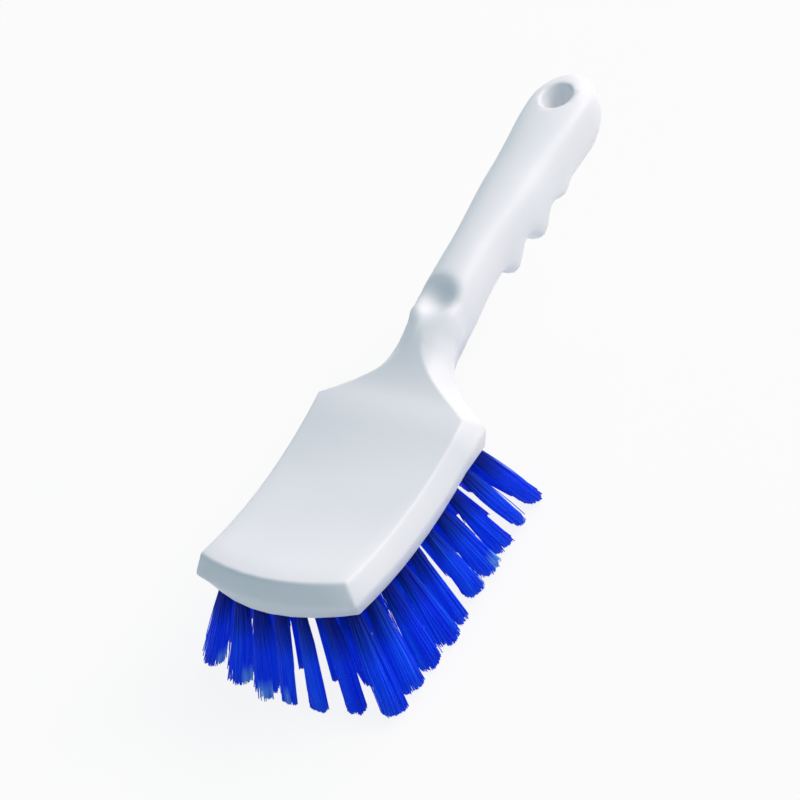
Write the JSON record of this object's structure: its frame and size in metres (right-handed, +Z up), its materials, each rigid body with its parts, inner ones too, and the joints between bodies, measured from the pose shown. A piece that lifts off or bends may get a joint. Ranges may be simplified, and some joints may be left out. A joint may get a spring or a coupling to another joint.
{
  "type": "car wash brush",
  "caption": "White plastic car wash brush with a shaped hand grip, a thumb dish, a hanging hole and soft blue bristles that fan out from its head.",
  "frame": {"origin": "on the ground plane that the bristle tips stand on, under the middle of the brush's whole length and width", "axes": "+X from the head towards the handle's end, +Z up through the back of the head, XZ the plane of symmetry of the moulded block"},
  "size_m": [0.2652, 0.0966, 0.0835],
  "materials": {
    "white_polypropylene": "satin",
    "blue_bristle": "satin"
  },
  "bodies": {
    "root": {"handle_block": "white_polypropylene", "edge_tuft_01": "blue_bristle", "edge_tuft_02": "blue_bristle", "edge_tuft_03": "blue_bristle", "edge_tuft_04": "blue_bristle", "edge_tuft_05": "blue_bristle", "edge_tuft_06": "blue_bristle", "edge_tuft_07": "blue_bristle", "edge_tuft_08": "blue_bristle", "edge_tuft_09": "blue_bristle", "edge_tuft_10": "blue_bristle", "edge_tuft_11": "blue_bristle", "edge_tuft_12": "blue_bristle", "edge_tuft_13": "blue_bristle", "edge_tuft_14": "blue_bristle", "edge_tuft_15": "blue_bristle", "edge_tuft_16": "blue_bristle", "edge_tuft_17": "blue_bristle", "edge_tuft_18": "blue_bristle", "edge_tuft_19": "blue_bristle", "edge_tuft_20": "blue_bristle", "edge_tuft_21": "blue_bristle", "edge_tuft_22": "blue_bristle", "edge_tuft_23": "blue_bristle", "edge_tuft_24": "blue_bristle", "edge_tuft_25": "blue_bristle", "edge_tuft_26": "blue_bristle", "edge_tuft_27": "blue_bristle", "edge_tuft_28": "blue_bristle", "edge_tuft_29": "blue_bristle", "edge_tuft_30": "blue_bristle", "field_tuft_01": "blue_bristle", "field_tuft_02": "blue_bristle", "field_tuft_03": "blue_bristle", "field_tuft_04": "blue_bristle", "field_tuft_05": "blue_bristle", "field_tuft_06": "blue_bristle", "field_tuft_07": "blue_bristle", "field_tuft_08": "blue_bristle", "field_tuft_09": "blue_bristle", "field_tuft_10": "blue_bristle", "field_tuft_11": "blue_bristle", "field_tuft_12": "blue_bristle", "field_tuft_13": "blue_bristle", "field_tuft_14": "blue_bristle", "field_tuft_15": "blue_bristle", "field_tuft_16": "blue_bristle", "field_tuft_17": "blue_bristle", "field_tuft_18": "blue_bristle", "field_tuft_19": "blue_bristle", "field_tuft_20": "blue_bristle", "field_tuft_21": "blue_bristle", "field_tuft_22": "blue_bristle", "field_tuft_23": "blue_bristle", "field_tuft_24": "blue_bristle", "field_tuft_25": "blue_bristle", "field_tuft_26": "blue_bristle", "field_tuft_27": "blue_bristle", "field_tuft_28": "blue_bristle"}
  },
  "joints": []
}
